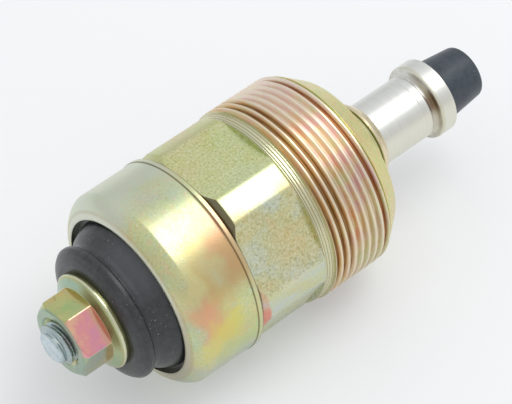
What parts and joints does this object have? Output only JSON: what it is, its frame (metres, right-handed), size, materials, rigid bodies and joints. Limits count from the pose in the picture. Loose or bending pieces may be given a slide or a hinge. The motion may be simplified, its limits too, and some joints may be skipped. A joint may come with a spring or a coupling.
{
  "type": "fuel shutoff solenoid",
  "caption": "Screw-in fuel shutoff solenoid with a hexagon body, fine mounting thread, stud terminal and a sprung plunger that carries a rubber sealing tip.",
  "frame": {"origin": "on the axis, where the mounting thread begins beside the hexagon", "axes": "+X along the axis towards the sealing tip, +Z square to one flat of the hexagon, with the part lying on its side"},
  "size_m": [0.0604, 0.024, 0.024],
  "materials": {
    "passivated_steel": "yellow passivated zinc plate on turned and drawn steel",
    "passivated_nut": "yellow passivated zinc plate",
    "zinc_plated": "bright zinc plate",
    "black_moulding": "matt black moulding",
    "plated_plunger": "bright turned steel",
    "black_rubber": "smooth black nitrile",
    "bare_steel": "bare soft iron",
    "tube_brass": "drawn brass",
    "tinned_brass": "tinned brass",
    "enamelled_copper": "enamelled copper wire",
    "bobbin_nylon": "natural nylon",
    "wrap_film": "clear amber film",
    "gasket_fibre": "fibre gasket",
    "spring_steel": "drawn spring wire"
  },
  "bodies": {
    "housing": {"body": "passivated_steel", "cap": "passivated_steel", "insulator": "black_moulding", "terminal_stud": "zinc_plated", "terminal_nut": "passivated_nut", "contact_ring": "tinned_brass", "coil_bobbin": "bobbin_nylon", "coil_winding": "enamelled_copper", "coil_wrap": "wrap_film", "live_lead": "enamelled_copper", "earth_lead": "enamelled_copper", "core": "bare_steel", "flux_plate": "bare_steel", "guide_tube": "tube_brass", "damping_washer": "tube_brass", "return_spring": "spring_steel", "plate_gasket": "gasket_fibre", "insulator_seal": "black_rubber", "rear_tube_seal": "black_rubber", "nose_tube_seal": "black_rubber"},
    "plunger_assembly": {"plunger": "plated_plunger", "valve_tip": "black_rubber"}
  },
  "joints": [
    {"name": "plunger_slide", "type": "slide", "parent": "housing", "child": "plunger_assembly", "axis": [-1, 0, 0], "range_m": [0, 0.0025], "stiffness_N_per_m": 1000, "springref_m": -0.006, "deforming": ["return_spring"]}
  ]
}
